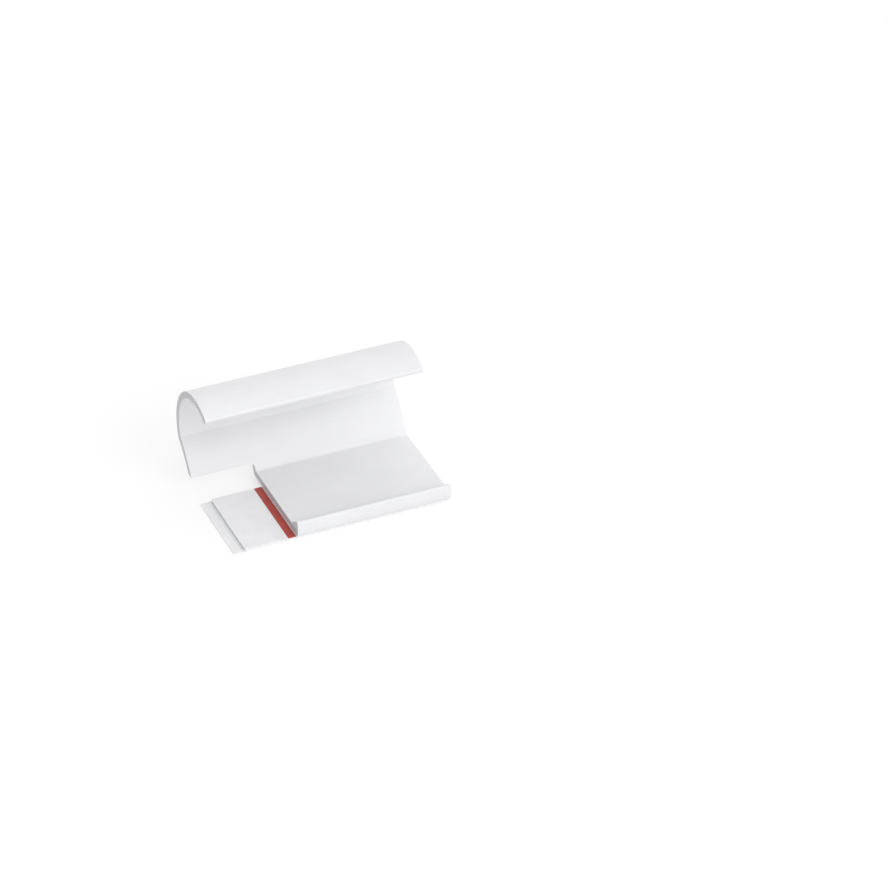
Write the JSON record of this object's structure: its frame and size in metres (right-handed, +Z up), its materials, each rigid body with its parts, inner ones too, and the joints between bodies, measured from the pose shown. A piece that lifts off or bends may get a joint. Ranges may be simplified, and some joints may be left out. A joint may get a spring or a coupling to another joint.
{
  "type": "adhesive cable clip",
  "caption": "Open extruded plastic cable clip with a curled spring lid, a hooked lip and a stretch-release adhesive strip whose pull tab lies in a notch.",
  "frame": {"origin": "middle of the flat underside that is pressed onto the wall or desk", "axes": "+X along the extrusion, away from the pull tab; +Y from the lip back to the hinge; +Z up, away from the surface"},
  "size_m": [0.05, 0.0334, 0.0266],
  "materials": {
    "white_plastic": "satin extruded",
    "white_elastomer": "fine closed-cell foam",
    "liner_film": "smooth release film",
    "white_film": "satin film",
    "red_film": "satin film"
  },
  "bodies": {
    "root": {"clip_profile": "white_plastic", "adhesive_strip": "white_elastomer", "release_liner": "liner_film", "tab_film": "white_film", "red_band": "red_film"}
  },
  "joints": []
}
